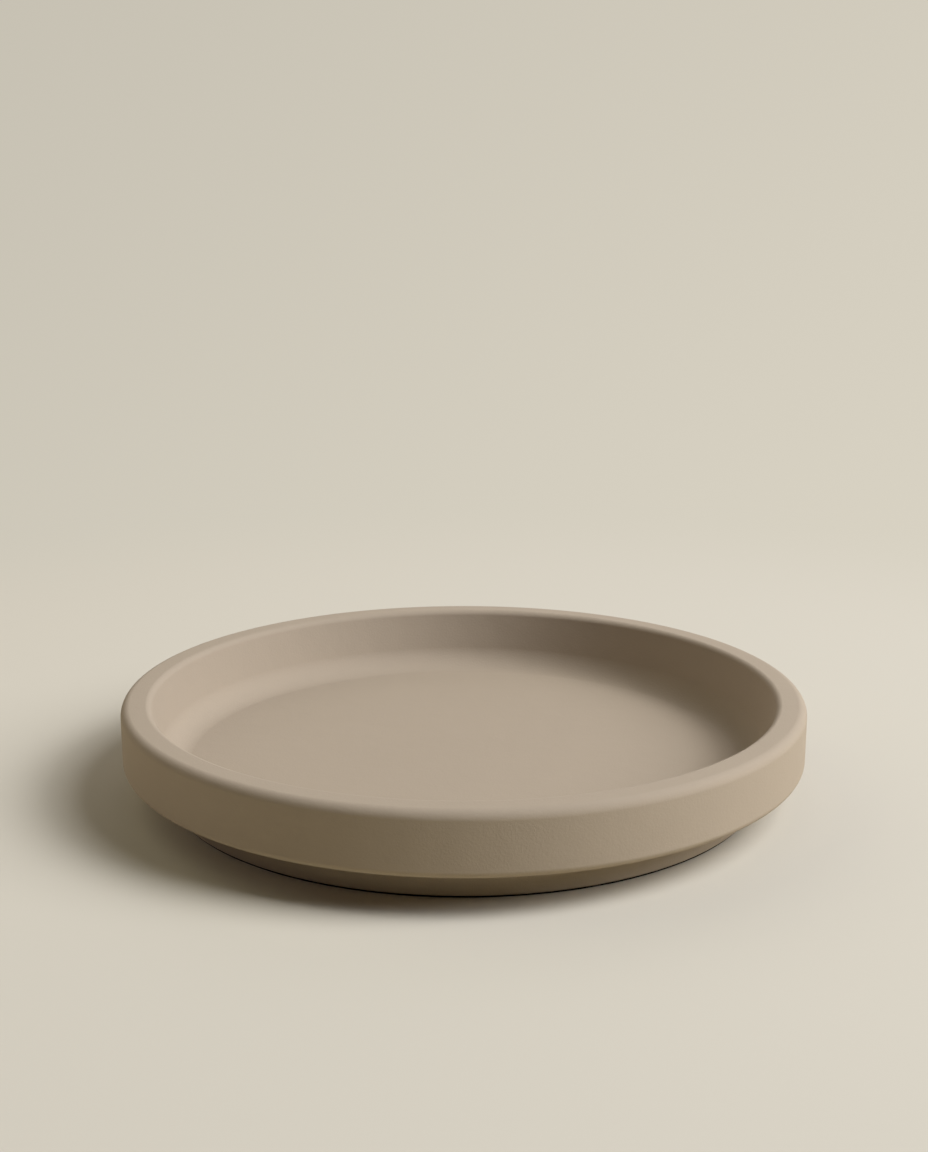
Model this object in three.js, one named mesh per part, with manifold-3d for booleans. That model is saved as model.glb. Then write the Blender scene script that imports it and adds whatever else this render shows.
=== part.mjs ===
// A round plant saucer: one stoneware casting that stands on four thin rubber pads, which are
// set into shallow seats in its foot. Sizes are in millimetres, +Z is up, and the origin is on
// the table under the saucer's middle.

import * as THREE from 'three';
import { mergeVertices } from 'three/addons/utils/BufferGeometryUtils.js';
import Module from 'manifold-3d';

// Outside of the casting
const saucerDiameter = 200;
const saucerHeight = 27.9; // table to the top of the rim
const wallLowerHeight = 11; // table to the lower edge of the overhanging wall
const rimOuterRounding = 2.6;
const wallLowerRounding = 2;

// Well that the pot stands in
const rimThickness = 8.5; // outer wall to the well, at the top of the rim
const rimInnerRounding = 2;
const wellDraft = 11; // degrees that the well's wall leans from upright
const wellFillet = 8.4;
const floorThickness = 5.6; // clay under the well's flat floor

// Overhang's underside, foot ring and the panel inside it
const undersideSlope = 20; // degrees that the underside falls from the wall in to the foot
const footInset = 12.5; // outer wall to the foot's outside
const footRingWidth = 13.5;
const footEdgeRounding = 0.6;
const footFillet = 3; // where the foot meets the overhang
const baseRecess = 2.2; // foot's land to the panel inside the ring
const baseFillet = 1.5;

// Pads and their seats in the foot's land
const padDiameter = 10;
const padThickness = 1.2;
const padStandOut = 0.6; // how far the pads lift the foot's land off the table
const seatClearance = 0.3; // round a pad in its seat
const padDirections = { front_right: -45, back_right: 45, back_left: 135, front_left: -135 };

// Fineness of the faceted surfaces
const saucerSides = 96;
const padSides = 32;
const arcTolerance = 0.03; // how far a rounding's facets may stray from its true arc

// Radii and heights that follow from the sizes above
const saucerRadius = saucerDiameter / 2;
const footRadius = saucerRadius - footInset;
const footInnerRadius = footRadius - footRingWidth;
const landRadius = footInnerRadius + footRingWidth / 2;
const notchHeight = wallLowerHeight - footInset * Math.tan(THREE.MathUtils.degToRad(undersideSlope));
const landHeight = padStandOut;
const baseHeight = landHeight + baseRecess;
const floorHeight = baseHeight + floorThickness;
const wellTopRadius = saucerRadius - rimThickness;
const wellLean = (saucerHeight - floorHeight) * Math.tan(THREE.MathUtils.degToRad(wellDraft));
const wellFootRadius = wellTopRadius - wellLean;

const wasm = await Module();
wasm.setup();

// Turns a list of corners [radius, height, rounding] into the points of an outline. Each
// rounded corner becomes an arc that is tangent to the two sides that meet there.
function roundedOutline(corners) {
  const points = [];
  corners.forEach(([radius, height, rounding], i) => {
    const corner = new THREE.Vector2(radius, height);
    if (rounding === 0) {
      points.push(corner);
      return;
    }
    const back = new THREE.Vector2(...corners[i - 1]).sub(corner).normalize();
    const onward = new THREE.Vector2(...corners[i + 1]).sub(corner).normalize();
    const halfAngle = back.angleTo(onward) / 2;
    const centre = back.clone().add(onward).setLength(rounding / Math.sin(halfAngle)).add(corner);
    const start = back.clone().setLength(rounding / Math.tan(halfAngle)).add(corner);
    const sweep = (Math.PI - 2 * halfAngle) * Math.sign(onward.cross(back));
    const facetAngle = 2 * Math.acos(1 - Math.min(arcTolerance / rounding, 1));
    const steps = Math.ceil(Math.abs(sweep) / facetAngle);
    for (let step = 0; step <= steps; step += 1) {
      points.push(start.clone().rotateAround(centre, (sweep * step) / steps));
    }
  });
  return points;
}

// Spins an outline, which starts and ends on the axis, into a solid that stands along +Z.
function turned(corners, sides) {
  return new THREE.LatheGeometry(roundedOutline(corners), sides).rotateX(Math.PI / 2);
}

// A round disc from one height to another, in the place of one pad on the foot's land.
function discAtPad(radius, low, high, degrees) {
  const direction = THREE.MathUtils.degToRad(degrees);
  return turned([[0, low, 0], [radius, low, 0], [radius, high, 0], [0, high, 0]], padSides)
    .translate(landRadius * Math.cos(direction), landRadius * Math.sin(direction), 0);
}

// A closed geometry as a solid that others can be cut from.
function cuttable(geometry) {
  geometry.deleteAttribute('uv');
  geometry.deleteAttribute('normal');
  const merged = mergeVertices(geometry, 1e-4);
  return new wasm.Manifold(new wasm.Mesh({
    numProp: 3,
    vertProperties: new Float32Array(merged.attributes.position.array),
    triVerts: new Uint32Array(merged.index.array),
  }));
}

// The casting: base panel, foot ring with the pads' seats, overhanging outer wall, rounded rim
// and well.
function saucerBody() {
  let casting = cuttable(turned([
    [0, baseHeight, 0],
    [footInnerRadius, baseHeight, baseFillet],
    [footInnerRadius, landHeight, footEdgeRounding],
    [footRadius, landHeight, footEdgeRounding],
    [footRadius, notchHeight, footFillet],
    [saucerRadius, wallLowerHeight, wallLowerRounding],
    [saucerRadius, saucerHeight, rimOuterRounding],
    [wellTopRadius, saucerHeight, rimInnerRounding],
    [wellFootRadius, floorHeight, wellFillet],
    [0, floorHeight, 0],
  ], saucerSides));
  for (const degrees of Object.values(padDirections)) {
    const seat = discAtPad(padDiameter / 2 + seatClearance, 0, padThickness, degrees);
    casting = casting.subtract(cuttable(seat));
  }
  const faceted = casting.getMesh();
  const geometry = new THREE.BufferGeometry();
  geometry.setAttribute('position', new THREE.BufferAttribute(faceted.vertProperties, faceted.numProp));
  geometry.setIndex(new THREE.BufferAttribute(faceted.triVerts, 1));
  const clay = new THREE.MeshStandardMaterial({ color: 0xb2a390, roughness: 0.9, metalness: 0 });
  const body = new THREE.Mesh(geometry, clay);
  body.name = 'saucer_body';
  return body;
}

// One round pad, whose top lies against the ceiling of its seat.
function footPad(place, degrees) {
  const geometry = discAtPad(padDiameter / 2, 0, padThickness, degrees);
  const rubber = new THREE.MeshStandardMaterial({ color: 0x3a3733, roughness: 0.8, metalness: 0 });
  const pad = new THREE.Mesh(geometry, rubber);
  pad.name = `foot_pad_${place}`;
  return pad;
}

const saucer = new THREE.Group();
saucer.add(saucerBody());
for (const [place, degrees] of Object.entries(padDirections)) {
  saucer.add(footPad(place, degrees));
}

export default saucer;
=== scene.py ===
import math

import bmesh
import bpy
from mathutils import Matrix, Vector


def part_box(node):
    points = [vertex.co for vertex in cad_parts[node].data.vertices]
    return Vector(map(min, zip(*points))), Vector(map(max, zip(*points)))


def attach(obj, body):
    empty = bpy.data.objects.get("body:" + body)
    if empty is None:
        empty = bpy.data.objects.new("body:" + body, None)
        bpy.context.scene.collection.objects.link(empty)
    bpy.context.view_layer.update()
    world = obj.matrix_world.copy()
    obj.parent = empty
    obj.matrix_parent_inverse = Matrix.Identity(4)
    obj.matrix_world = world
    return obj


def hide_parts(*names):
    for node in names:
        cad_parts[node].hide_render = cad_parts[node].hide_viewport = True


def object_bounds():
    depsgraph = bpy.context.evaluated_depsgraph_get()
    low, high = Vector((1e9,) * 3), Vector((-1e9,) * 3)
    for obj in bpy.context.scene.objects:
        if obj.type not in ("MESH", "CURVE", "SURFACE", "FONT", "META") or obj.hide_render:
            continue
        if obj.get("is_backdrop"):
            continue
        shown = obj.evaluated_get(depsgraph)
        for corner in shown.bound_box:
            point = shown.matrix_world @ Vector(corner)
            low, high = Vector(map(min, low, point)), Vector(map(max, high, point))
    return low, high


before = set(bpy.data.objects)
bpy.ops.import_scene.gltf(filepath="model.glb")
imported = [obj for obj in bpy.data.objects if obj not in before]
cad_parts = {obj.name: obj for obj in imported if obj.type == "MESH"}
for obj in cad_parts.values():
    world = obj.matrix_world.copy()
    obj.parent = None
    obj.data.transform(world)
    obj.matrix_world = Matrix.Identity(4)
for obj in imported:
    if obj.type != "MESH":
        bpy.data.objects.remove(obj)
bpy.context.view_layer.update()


# The saucer body. It is one piece of stoneware: base, foot ring with four shallow seats for its
# pads, upright wall that overhangs the foot, rounded rim and flat well. The clay was pressed in a
# mould, trimmed and sponged while it was damp, and fired without a glaze, so it is matte all over.
ROOT = "root"  # nothing on a saucer moves, so all its pieces ride on one body
body_low, body_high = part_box("saucer_body")
outer_radius = body_high.x
rim_height = body_high.z
land_height = body_low.z
wall_lower_height = 0.0110
wall_lower_rounding = 0.0020
rim_thickness = 0.0085
rim_outer_rounding = 0.0026
rim_inner_rounding = 0.0020
well_draft = math.radians(11)
well_fillet = 0.0084
floor_height = 0.0084
underside_slope = math.radians(20)
foot_inset = 0.0125
foot_ring_width = 0.0135
foot_edge_rounding = 0.0006
foot_fillet = 0.0030
base_recess = 0.0022
base_fillet = 0.0015
seat_clearance = 0.0003  # round a pad in its seat
pad_nodes = sorted(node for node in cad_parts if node.startswith("foot_pad"))

foot_radius = outer_radius - foot_inset
foot_inner_radius = foot_radius - foot_ring_width
notch_height = wall_lower_height - foot_inset * math.tan(underside_slope)
base_height = land_height + base_recess
well_top_radius = outer_radius - rim_thickness
well_foot_radius = well_top_radius - (rim_height - floor_height) * math.tan(well_draft)

# Radius, height and rounding of each corner, from the base's middle round the rim to the well's
# middle.
section = [
    (0.0, base_height, 0.0),
    (foot_inner_radius, base_height, base_fillet),
    (foot_inner_radius, land_height, foot_edge_rounding),
    (foot_radius, land_height, foot_edge_rounding),
    (foot_radius, notch_height, foot_fillet),
    (outer_radius, wall_lower_height, wall_lower_rounding),
    (outer_radius, rim_height, rim_outer_rounding),
    (well_top_radius, rim_height, rim_inner_rounding),
    (well_foot_radius, floor_height, well_fillet),
    (0.0, floor_height, 0.0),
]
TURN_STEPS = 256
ROUNDING_STEPS = 12
DISC_SIDES = 64
SAME_PLACE = 1e-6
SHARP_ANGLE = math.radians(60)


def ring_edges(bm, radius, height):
    """The edges of the turned solid that run round it at one radius and height."""
    return [
        edge for edge in bm.edges
        if all(abs(v.co.xy.length - radius) < SAME_PLACE and abs(v.co.z - height) < SAME_PLACE
               for v in edge.verts)
    ]


def placed_object(bm, name):
    """Turns the bmesh into an object of the scene."""
    mesh = bpy.data.meshes.new(name)
    bm.to_mesh(mesh)
    bm.free()
    placed = bpy.data.objects.new(name, mesh)
    bpy.context.scene.collection.objects.link(placed)
    return placed


def finished_mesh(bm, name, material):
    """Closes the bmesh into a smooth-shaded object that stands for a piece."""
    bmesh.ops.remove_doubles(bm, verts=bm.verts, dist=SAME_PLACE)
    bmesh.ops.recalc_face_normals(bm, faces=bm.faces)
    for face in bm.faces:
        face.smooth = True
    for edge in bm.edges:
        edge.smooth = edge.calc_face_angle() < SHARP_ANGLE
    piece = placed_object(bm, name)
    piece.data.materials.append(material)
    even_normals = piece.modifiers.new("even_normals", "WEIGHTED_NORMAL")
    even_normals.weight = 100
    even_normals.keep_sharp = True
    return piece


def level_disc(bm, centre, radius, low, high):
    """Adds a flat round disc that lies level, from one height to another."""
    made = bmesh.ops.create_cone(bm, cap_ends=True, segments=DISC_SIDES, radius1=radius,
                                 radius2=radius, depth=high - low)
    bmesh.ops.translate(bm, vec=(centre.x, centre.y, (low + high) / 2), verts=made["verts"])


def cut_away(bm, cutters):
    """Cuts the discs of one bmesh out of another and returns the result."""
    whole = placed_object(bm, "uncut")
    tools = placed_object(cutters, "cutters")
    cut = whole.modifiers.new("cut", "BOOLEAN")
    cut.operation = "DIFFERENCE"
    cut.solver = "EXACT"
    cut.object = tools
    bpy.context.view_layer.update()
    result = bmesh.new()
    result.from_object(whole, bpy.context.evaluated_depsgraph_get())
    for used in (whole, tools):
        bpy.data.meshes.remove(used.data)
    return result


def new_group(name, inputs, outputs):
    """An empty node group with float, vector or colour sockets, and its two end nodes."""
    group = bpy.data.node_groups.new(name, "ShaderNodeTree")
    for label, kind in inputs:
        group.interface.new_socket(label, in_out="INPUT", socket_type="NodeSocket" + kind)
    for label, kind in outputs:
        group.interface.new_socket(label, in_out="OUTPUT", socket_type="NodeSocket" + kind)
    return group, group.nodes.new("NodeGroupInput"), group.nodes.new("NodeGroupOutput")


def feed(tree, socket, value):
    """Links another node's socket to this one, or sets this one to a plain value."""
    if isinstance(value, bpy.types.NodeSocket):
        tree.links.new(value, socket)
    else:
        socket.default_value = value


def math_node(tree, operation, *values):
    """A Math node whose inputs are each a socket or a plain number. Returns its output."""
    node = tree.nodes.new("ShaderNodeMath")
    node.operation = operation
    for socket, value in zip(node.inputs, values):
        feed(tree, socket, value)
    return node.outputs[0]


def vector_node(tree, operation, first, second=None):
    """A Vector Math node. Returns its number for a length, distance or dot product, or else its
    vector."""
    node = tree.nodes.new("ShaderNodeVectorMath")
    node.operation = operation
    feed(tree, node.inputs[0], first)
    if second is not None:
        feed(tree, node.inputs["Scale" if operation == "SCALE" else 1], second)
    gives_number = operation in ("LENGTH", "DISTANCE", "DOT_PRODUCT")
    return node.outputs["Value" if gives_number else "Vector"]


def noise_node(tree, position, per_metre, detail, roughness):
    """A noise pattern, from 0 to 1, with so many grains to the metre. Returns its output."""
    node = tree.nodes.new("ShaderNodeTexNoise")
    feed(tree, node.inputs["Vector"], position)
    feed(tree, node.inputs["Scale"], per_metre)
    feed(tree, node.inputs["Detail"], detail)
    feed(tree, node.inputs["Roughness"], roughness)
    return node.outputs["Fac"]


def surface_grain_group():
    """Fine matte grain. Height is the grain's relief, and Mottle a slow drift of its tone."""
    group, given, result = new_group(
        "surface_grain",
        [("Position", "Vector"), ("Grains per metre", "Float"), ("Clouds per metre", "Float")],
        [("Height", "Float"), ("Mottle", "Float")],
    )
    position = given.outputs["Position"]
    fine = noise_node(group, position, given.outputs["Grains per metre"], detail=3.0, roughness=0.6)
    slow = noise_node(group, position, given.outputs["Clouds per metre"], detail=2.0, roughness=0.5)
    group.links.new(fine, result.inputs["Height"])
    group.links.new(slow, result.inputs["Mottle"])
    return group


surface_grain = surface_grain_group()


def grain_node(tree, position, grains_per_metre, clouds_per_metre):
    """Places the grain in a material, at its own fineness. Returns the node."""
    node = tree.nodes.new("ShaderNodeGroup")
    node.node_tree = surface_grain
    feed(tree, node.inputs["Position"], position)
    feed(tree, node.inputs["Grains per metre"], grains_per_metre)
    feed(tree, node.inputs["Clouds per metre"], clouds_per_metre)
    return node


def mask_node(tree, value, start, end):
    """A mask that rises smoothly from 0 at start to 1 at end. Returns its output."""
    node = tree.nodes.new("ShaderNodeMapRange")
    node.interpolation_type = "SMOOTHSTEP"
    feed(tree, node.inputs["Value"], value)
    feed(tree, node.inputs["From Min"], start)
    feed(tree, node.inputs["From Max"], end)
    return node.outputs["Result"]


def colour_mix(tree, mask, first, second):
    """Mixes two colours, each a socket or a plain colour, by a mask. Returns the mix."""
    node = tree.nodes.new("ShaderNodeMix")
    node.data_type = "RGBA"
    feed(tree, node.inputs["Factor"], mask)
    colours = [socket for socket in node.inputs if socket.type == "RGBA"]
    for socket, colour in zip(colours, (first, second)):
        plain = not isinstance(colour, bpy.types.NodeSocket)
        feed(tree, socket, (*colour, 1.0) if plain else colour)
    return next(socket for socket in node.outputs if socket.type == "RGBA")


def bump_node(tree, height, distance, under=None):
    """Turns a height from 0 to 1 into relief so many metres deep. Returns the normal."""
    node = tree.nodes.new("ShaderNodeBump")
    feed(tree, node.inputs["Distance"], distance)
    feed(tree, node.inputs["Height"], height)
    if under is not None:
        feed(tree, node.inputs["Normal"], under)
    return node.outputs["Normal"]


clay_light = (0.396, 0.326, 0.249)
clay_dark = (0.384, 0.316, 0.241)
clay_sanded = (0.430, 0.362, 0.286)
clay_gloss = 0.3
clay_roughness, clay_roughness_change = 0.84, 0.08
clay_grains_per_metre, clay_clouds_per_metre = 1500, 45
clay_grain_depth = 0.00006
sponge_marks_per_metre = 110
sponge_mark_depth = 0.00012
trimming_ring_pitch = 0.0023
trimming_ring_depth = 0.00008
sanded_height, sanding_ends_height = 0.0001, 0.0003  # above the foot's land
ringed_height, rings_end_height = 0.0002, 0.0004  # above the base's panel


def stoneware_material():
    """Dry matte clay: fine grain, broad sponge marks, a sanded foot and trimming rings below."""
    material = bpy.data.materials.new("matte_stoneware")
    material.use_nodes = True
    tree = material.node_tree
    links = tree.links
    shader = tree.nodes["Principled BSDF"]
    place = tree.nodes.new("ShaderNodeTexCoord").outputs["Object"]
    parts = tree.nodes.new("ShaderNodeSeparateXYZ")
    links.new(place, parts.inputs["Vector"])
    height = parts.outputs["Z"]
    flat = tree.nodes.new("ShaderNodeCombineXYZ")
    links.new(parts.outputs["X"], flat.inputs["X"])
    links.new(parts.outputs["Y"], flat.inputs["Y"])
    radius = vector_node(tree, "LENGTH", flat.outputs["Vector"])

    shader.inputs["Specular IOR Level"].default_value = clay_gloss
    grain = grain_node(tree, place, clay_grains_per_metre, clay_clouds_per_metre)
    sponge = noise_node(tree, place, sponge_marks_per_metre, detail=2.0, roughness=0.5)

    land = mask_node(tree, height, land_height + sanding_ends_height, land_height + sanded_height)
    base = mask_node(tree, height, base_height + rings_end_height, base_height + ringed_height)
    fired = colour_mix(tree, grain.outputs["Mottle"], clay_dark, clay_light)
    links.new(colour_mix(tree, land, fired, clay_sanded), shader.inputs["Base Color"])

    roughness = math_node(tree, "MULTIPLY_ADD", grain.outputs["Height"], clay_roughness_change,
                          clay_roughness)
    links.new(roughness, shader.inputs["Roughness"])

    rings = math_node(tree, "SINE", math_node(tree, "MULTIPLY", radius, math.tau / trimming_ring_pitch))
    panel = math_node(tree, "SUBTRACT", base, land)
    turned = math_node(tree, "MULTIPLY", math_node(tree, "MULTIPLY", rings, sponge), panel)
    normal = bump_node(tree, sponge, sponge_mark_depth)
    normal = bump_node(tree, turned, trimming_ring_depth, normal)
    normal = bump_node(tree, grain.outputs["Height"], clay_grain_depth, normal)
    links.new(normal, shader.inputs["Normal"])
    return material


bm = bmesh.new()
corners = [bm.verts.new((radius, 0.0, height)) for radius, height, _ in section]
sides = [bm.edges.new(pair) for pair in zip(corners, corners[1:])]
bmesh.ops.spin(bm, geom=corners + sides, cent=(0, 0, 0), axis=(0, 0, 1), dvec=(0, 0, 0),
               angle=math.tau, steps=TURN_STEPS, use_merge=True, use_duplicate=False)
bmesh.ops.remove_doubles(bm, verts=bm.verts, dist=SAME_PLACE)
bmesh.ops.recalc_face_normals(bm, faces=bm.faces)
for before, corner, after in zip(section, section[1:], section[2:]):
    radius, height, rounding = corner
    back = Vector(before[:2]) - Vector(corner[:2])
    onward = Vector(after[:2]) - Vector(corner[:2])
    arc_reach = rounding / math.tan(back.angle(onward) / 2)  # from the corner to its arc's ends
    bmesh.ops.bevel(bm, geom=ring_edges(bm, radius, height), offset=arc_reach,
                    offset_type="OFFSET", segments=ROUNDING_STEPS, profile=0.5, affect="EDGES",
                    material=-1)
seats = bmesh.new()
for node in pad_nodes:
    low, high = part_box(node)
    level_disc(seats, (low + high) / 2, (high.x - low.x) / 2 + seat_clearance, low.z, high.z)
bm = cut_away(bm, seats)
saucer = finished_mesh(bm, "saucer_stoneware", stoneware_material())
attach(saucer, ROOT)
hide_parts("saucer_body")


# The pads. Four thin discs of dark rubber are stuck into their seats under the foot ring and stand
# out of them a little, so that the fired clay doesn't scratch the table. They were punched from a
# sheet, so their rims are only just softened.
pad_edge_rounding = 0.0002
PAD_EDGE_STEPS = 4
rubber_worn = (0.052, 0.047, 0.042)
rubber_dark = (0.036, 0.033, 0.030)
rubber_roughness, rubber_roughness_change = 0.62, 0.2
rubber_grains_per_metre, rubber_clouds_per_metre = 3200, 350
rubber_grain_depth = 0.00003


def rubber_material():
    """Dull rubber sheet with a fine pressed grain and a faintly uneven tone."""
    material = bpy.data.materials.new("pad_rubber")
    material.use_nodes = True
    tree = material.node_tree
    shader = tree.nodes["Principled BSDF"]
    place = tree.nodes.new("ShaderNodeTexCoord").outputs["Object"]
    grain = grain_node(tree, place, rubber_grains_per_metre, rubber_clouds_per_metre)
    tone = colour_mix(tree, grain.outputs["Mottle"], rubber_dark, rubber_worn)
    tree.links.new(tone, shader.inputs["Base Color"])
    roughness = math_node(tree, "MULTIPLY_ADD", grain.outputs["Height"], rubber_roughness_change,
                          rubber_roughness)
    tree.links.new(roughness, shader.inputs["Roughness"])
    normal = bump_node(tree, grain.outputs["Height"], rubber_grain_depth)
    tree.links.new(normal, shader.inputs["Normal"])
    return material


def foot_pad(node, material):
    """One round pad with softened rims, in the place of its CAD node."""
    low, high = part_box(node)
    bm = bmesh.new()
    level_disc(bm, (low + high) / 2, (high.x - low.x) / 2, low.z, high.z)
    rims = [edge for edge in bm.edges if abs(edge.verts[0].co.z - edge.verts[1].co.z) < SAME_PLACE]
    bmesh.ops.bevel(bm, geom=rims, offset=pad_edge_rounding, offset_type="OFFSET",
                    segments=PAD_EDGE_STEPS, profile=0.5, affect="EDGES", material=-1)
    pad = finished_mesh(bm, node.replace("foot_pad", "rubber_pad"), material)
    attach(pad, ROOT)
    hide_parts(node)


pad_rubber = rubber_material()
for node in pad_nodes:
    foot_pad(node, pad_rubber)


# The studio. A wide sheet of pale paper lies under the saucer and goes on out of sight behind it.
# Near the saucer it takes the lamps' light and the shadow, and farther off it has one soft tone.
# Seen from below it is clear, and a lamp below shines through it on the saucer's underside.
paper_colour = (0.635, 0.595, 0.509)
paper_bounce_colour = (0.635, 0.567, 0.408)  # the warmer tone that the paper throws back
paper_far_colour = (0.623, 0.583, 0.493)
paper_radius = 30.0
PAPER_SIDES = 128
paper_height = -0.00005  # just under the pads, so that the two surfaces don't coincide
painted_shade_radius = foot_radius - 0.0009  # painted shade: inside it the paper is coloured black, to stand for the shade under the foot
lit_from_below_radius = foot_radius - 0.0015  # inside it the lamp below shines through
window_azimuth, window_elevation = -12.6, 42.4  # degrees, towards the middle of the window's lamps
window_distance = 2.0
paper_evening = 0.7  # the paper is that power of the lamp's distance paler, so that it looks even
even_tone_start, even_tone_end = 0.20, 0.45
tone_centre = Vector((0.0, -0.46, 0.17))  # the far tone spreads from here
tone_towards_lamp = 0.225  # share by which it grows from the middle to the lamp's side
tone_upwards = -0.27  # and from the middle upwards
tone_most_change = 0.17  # it grows or falls by no more than this share


def direction_towards(azimuth, elevation):
    """A direction of length one, from angles in degrees."""
    azimuth, elevation = math.radians(azimuth), math.radians(elevation)
    return Vector((
        math.cos(elevation) * math.cos(azimuth),
        math.cos(elevation) * math.sin(azimuth),
        math.sin(elevation),
    ))


window_place = direction_towards(window_azimuth, window_elevation) * window_distance


def backdrop_tone_group():
    """The far paper's tone in a direction from the saucer: lighter on the lamp's side."""
    group, given, result = new_group(
        "backdrop_tone", [("Direction", "Vector")], [("Colour", "Color")])
    unit = vector_node(group, "NORMALIZE", given.outputs["Direction"])
    lean = vector_node(group, "DOT_PRODUCT", unit, (tone_towards_lamp, 0.0, tone_upwards))
    bent = math_node(group, "TANH", math_node(group, "DIVIDE", lean, tone_most_change))
    share = math_node(group, "MULTIPLY_ADD", bent, tone_most_change, 1.0)
    tone = vector_node(group, "SCALE", paper_far_colour, share)
    group.links.new(tone, result.inputs["Colour"])
    return group


backdrop_tone = backdrop_tone_group()


def tone_node(tree, direction):
    """Places the far paper's tone in a material or the world. Returns its colour."""
    node = tree.nodes.new("ShaderNodeGroup")
    node.node_tree = backdrop_tone
    feed(tree, node.inputs["Direction"], direction)
    return node.outputs["Colour"]


def seen_rays(tree):
    """1 for the rays that show the backdrop in the picture, in gloss or through glass."""
    path = tree.nodes.new("ShaderNodeLightPath")
    seen = math_node(tree, "MAXIMUM", path.outputs["Is Camera Ray"], path.outputs["Is Glossy Ray"])
    return math_node(tree, "MAXIMUM", seen, path.outputs["Is Transmission Ray"])


def shader_mix(tree, share, first, second):
    """Mixes two shaders by a share from 0 to 1. Returns the mix."""
    node = tree.nodes.new("ShaderNodeMixShader")
    for socket, value in zip(node.inputs, (share, first, second)):
        feed(tree, socket, value)
    return node.outputs["Shader"]


def paper_material():
    """Matte paper that is lit near the saucer, evenly toned farther off and clear from below."""
    material = bpy.data.materials.new("studio_paper")
    material.use_nodes = True
    tree = material.node_tree
    links = tree.links
    shader = tree.nodes["Principled BSDF"]
    shader.inputs["Roughness"].default_value = 1.0
    shader.inputs["Specular IOR Level"].default_value = 0.0
    place = tree.nodes.new("ShaderNodeTexCoord").outputs["Object"]
    distance = vector_node(tree, "LENGTH", place)
    seen = seen_rays(tree)

    colour = colour_mix(tree, seen, paper_bounce_colour, paper_colour)
    from_lamp = vector_node(tree, "DISTANCE", place, window_place)
    share = math_node(tree, "DIVIDE", from_lamp, window_distance)
    evening = math_node(tree, "POWER", share, paper_evening)
    # Painted shade: the paper under the foot is coloured black, so that the contact line stays dark.
    painted_shade = math_node(tree, "LESS_THAN", distance, painted_shade_radius)
    paleness = math_node(tree, "MULTIPLY", evening, math_node(tree, "SUBTRACT", 1.0, painted_shade))
    links.new(vector_node(tree, "SCALE", colour, paleness), shader.inputs["Base Color"])

    outwards = vector_node(tree, "SUBTRACT", place, tone_centre)
    even = tree.nodes.new("ShaderNodeEmission")
    links.new(tone_node(tree, outwards), even.inputs["Color"])
    far = mask_node(tree, distance, even_tone_start, even_tone_end)
    toned = math_node(tree, "MULTIPLY", far, seen)
    paper = shader_mix(tree, toned, shader.outputs["BSDF"], even.outputs["Emission"])

    side = tree.nodes.new("ShaderNodeNewGeometry").outputs["Backfacing"]
    path = tree.nodes.new("ShaderNodeLightPath")
    seen_from_below = math_node(tree, "MULTIPLY", path.outputs["Is Camera Ray"], side)
    under = math_node(tree, "LESS_THAN", distance, lit_from_below_radius)
    lit_from_below = math_node(tree, "MULTIPLY", path.outputs["Is Shadow Ray"], under)
    let_through = math_node(tree, "MAXIMUM", seen_from_below, lit_from_below)
    clear = tree.nodes.new("ShaderNodeBsdfTransparent").outputs["BSDF"]
    sheet = shader_mix(tree, let_through, paper, clear)
    links.new(sheet, tree.nodes["Material Output"].inputs["Surface"])
    return material


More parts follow.
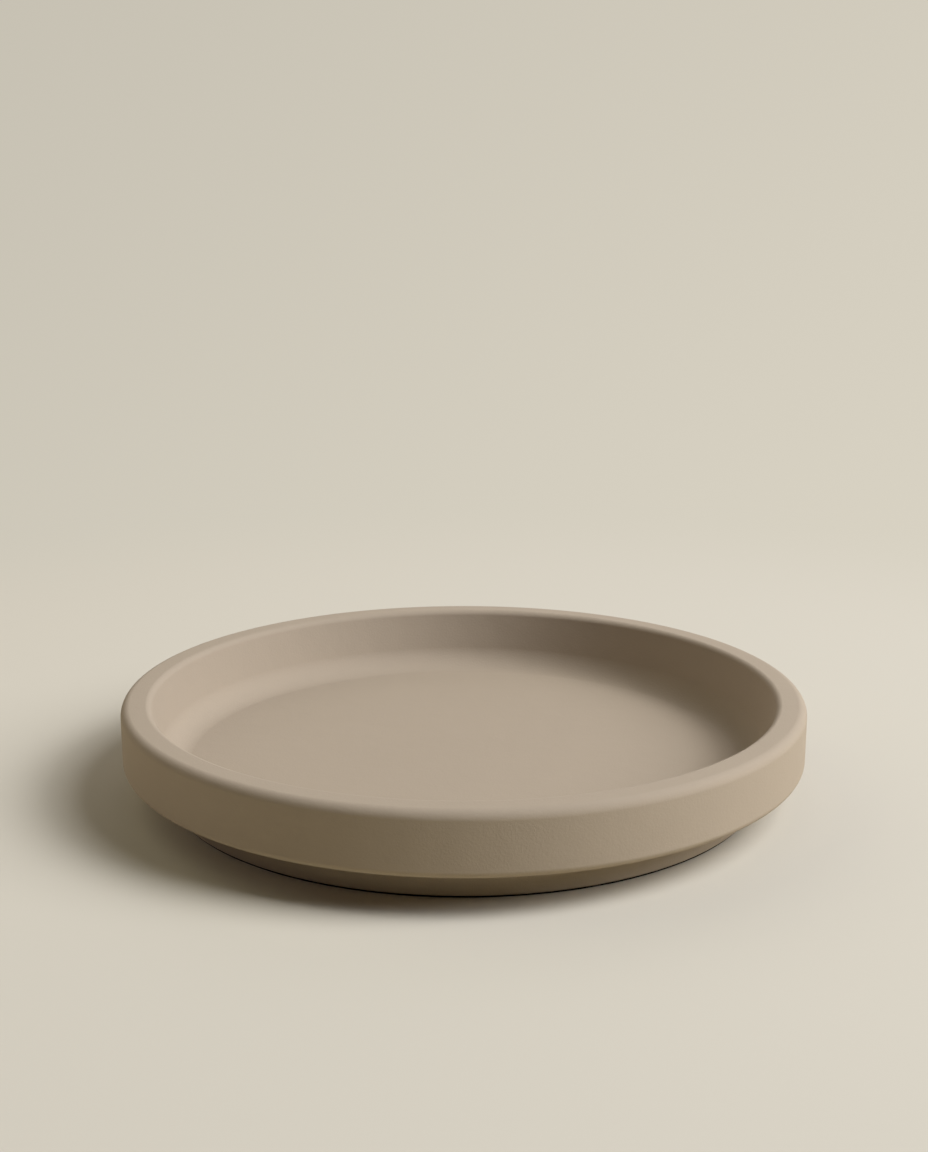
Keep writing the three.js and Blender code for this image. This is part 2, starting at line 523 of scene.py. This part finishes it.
bm = bmesh.new()
bmesh.ops.create_circle(bm, cap_ends=True, segments=PAPER_SIDES, radius=paper_radius)
bmesh.ops.translate(bm, vec=(0, 0, paper_height), verts=bm.verts)
paper = placed_object(bm, "studio_paper")
paper.data.materials.append(paper_material())
paper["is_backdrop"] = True

world = bpy.data.worlds.new("studio_air")
world.use_nodes = True
air = world.node_tree
unlit = air.nodes["Background"]
unlit.inputs["Strength"].default_value = 0.0
backdrop = air.nodes.new("ShaderNodeBackground")
outwards = air.nodes.new("ShaderNodeTexCoord").outputs["Generated"]
air.links.new(tone_node(air, outwards), backdrop.inputs["Color"])
around = shader_mix(air, seen_rays(air), unlit.outputs["Background"], backdrop.outputs["Background"])
air.links.new(around, air.nodes["World Output"].inputs["Surface"])
bpy.context.scene.world = world


# The lamps. Two broad soft lamps stand one above the other to the right, like the panes of a tall
# window. Weak ones to the left, low on the left and behind give the shadows a little light, and
# the one below shows the underside.
def soft_lamp(name, azimuth, elevation, distance, size, power, colour):
    """A round lamp that faces the saucer, with lengths in metres and its power in watts."""
    data = bpy.data.lights.new(name, "AREA")
    data.shape = "DISK"
    data.size = size
    data.energy = power
    data.color = colour
    lamp = bpy.data.objects.new(name, data)
    lamp.location = direction_towards(azimuth, elevation) * distance
    lamp.rotation_euler = lamp.location.to_track_quat("Z", "Y").to_euler()
    bpy.context.scene.collection.objects.link(lamp)


window_light = (0.955, 0.967, 1.0)
weak_lamp_distance = 1.5
soft_lamp("window_lamp_low", window_azimuth, 34, window_distance, size=1.2, power=31.0,
          colour=window_light)
soft_lamp("window_lamp_high", window_azimuth, 51, window_distance, size=1.2, power=26.8,
          colour=window_light)
soft_lamp("fill_lamp", 156, 42, weak_lamp_distance, size=1.5, power=6.0, colour=(1.0, 0.92, 0.68))
soft_lamp("back_lamp", 85, 25, weak_lamp_distance, size=1.5, power=4.8, colour=(1.0, 0.95, 1.0))
soft_lamp("low_left_lamp", 180, 15, weak_lamp_distance, size=1.0, power=1.2,
          colour=(1.0, 0.85, 1.0))
soft_lamp("under_lamp", -60, -45, weak_lamp_distance, size=1.5, power=22.0, colour=window_light)


# The camera. It stands at the photograph's place, in front of the saucer and above it, has a
# 50 mm lens and looks slightly down.
camera_place = (0.00005, -0.4555, 0.1684)
camera_looks_down = 13.175  # degrees
camera_data = bpy.data.cameras.new("photo_camera")
camera_data.lens = 50
camera_data.sensor_width = 36
camera = bpy.data.objects.new("photo_camera", camera_data)
camera.location = camera_place
camera.rotation_euler = (math.radians(90 - camera_looks_down), 0, 0)
bpy.context.scene.collection.objects.link(camera)
bpy.context.scene.camera = camera
bpy.context.scene.view_settings.view_transform = "Standard"

# The finished pieces' box.
low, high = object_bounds()
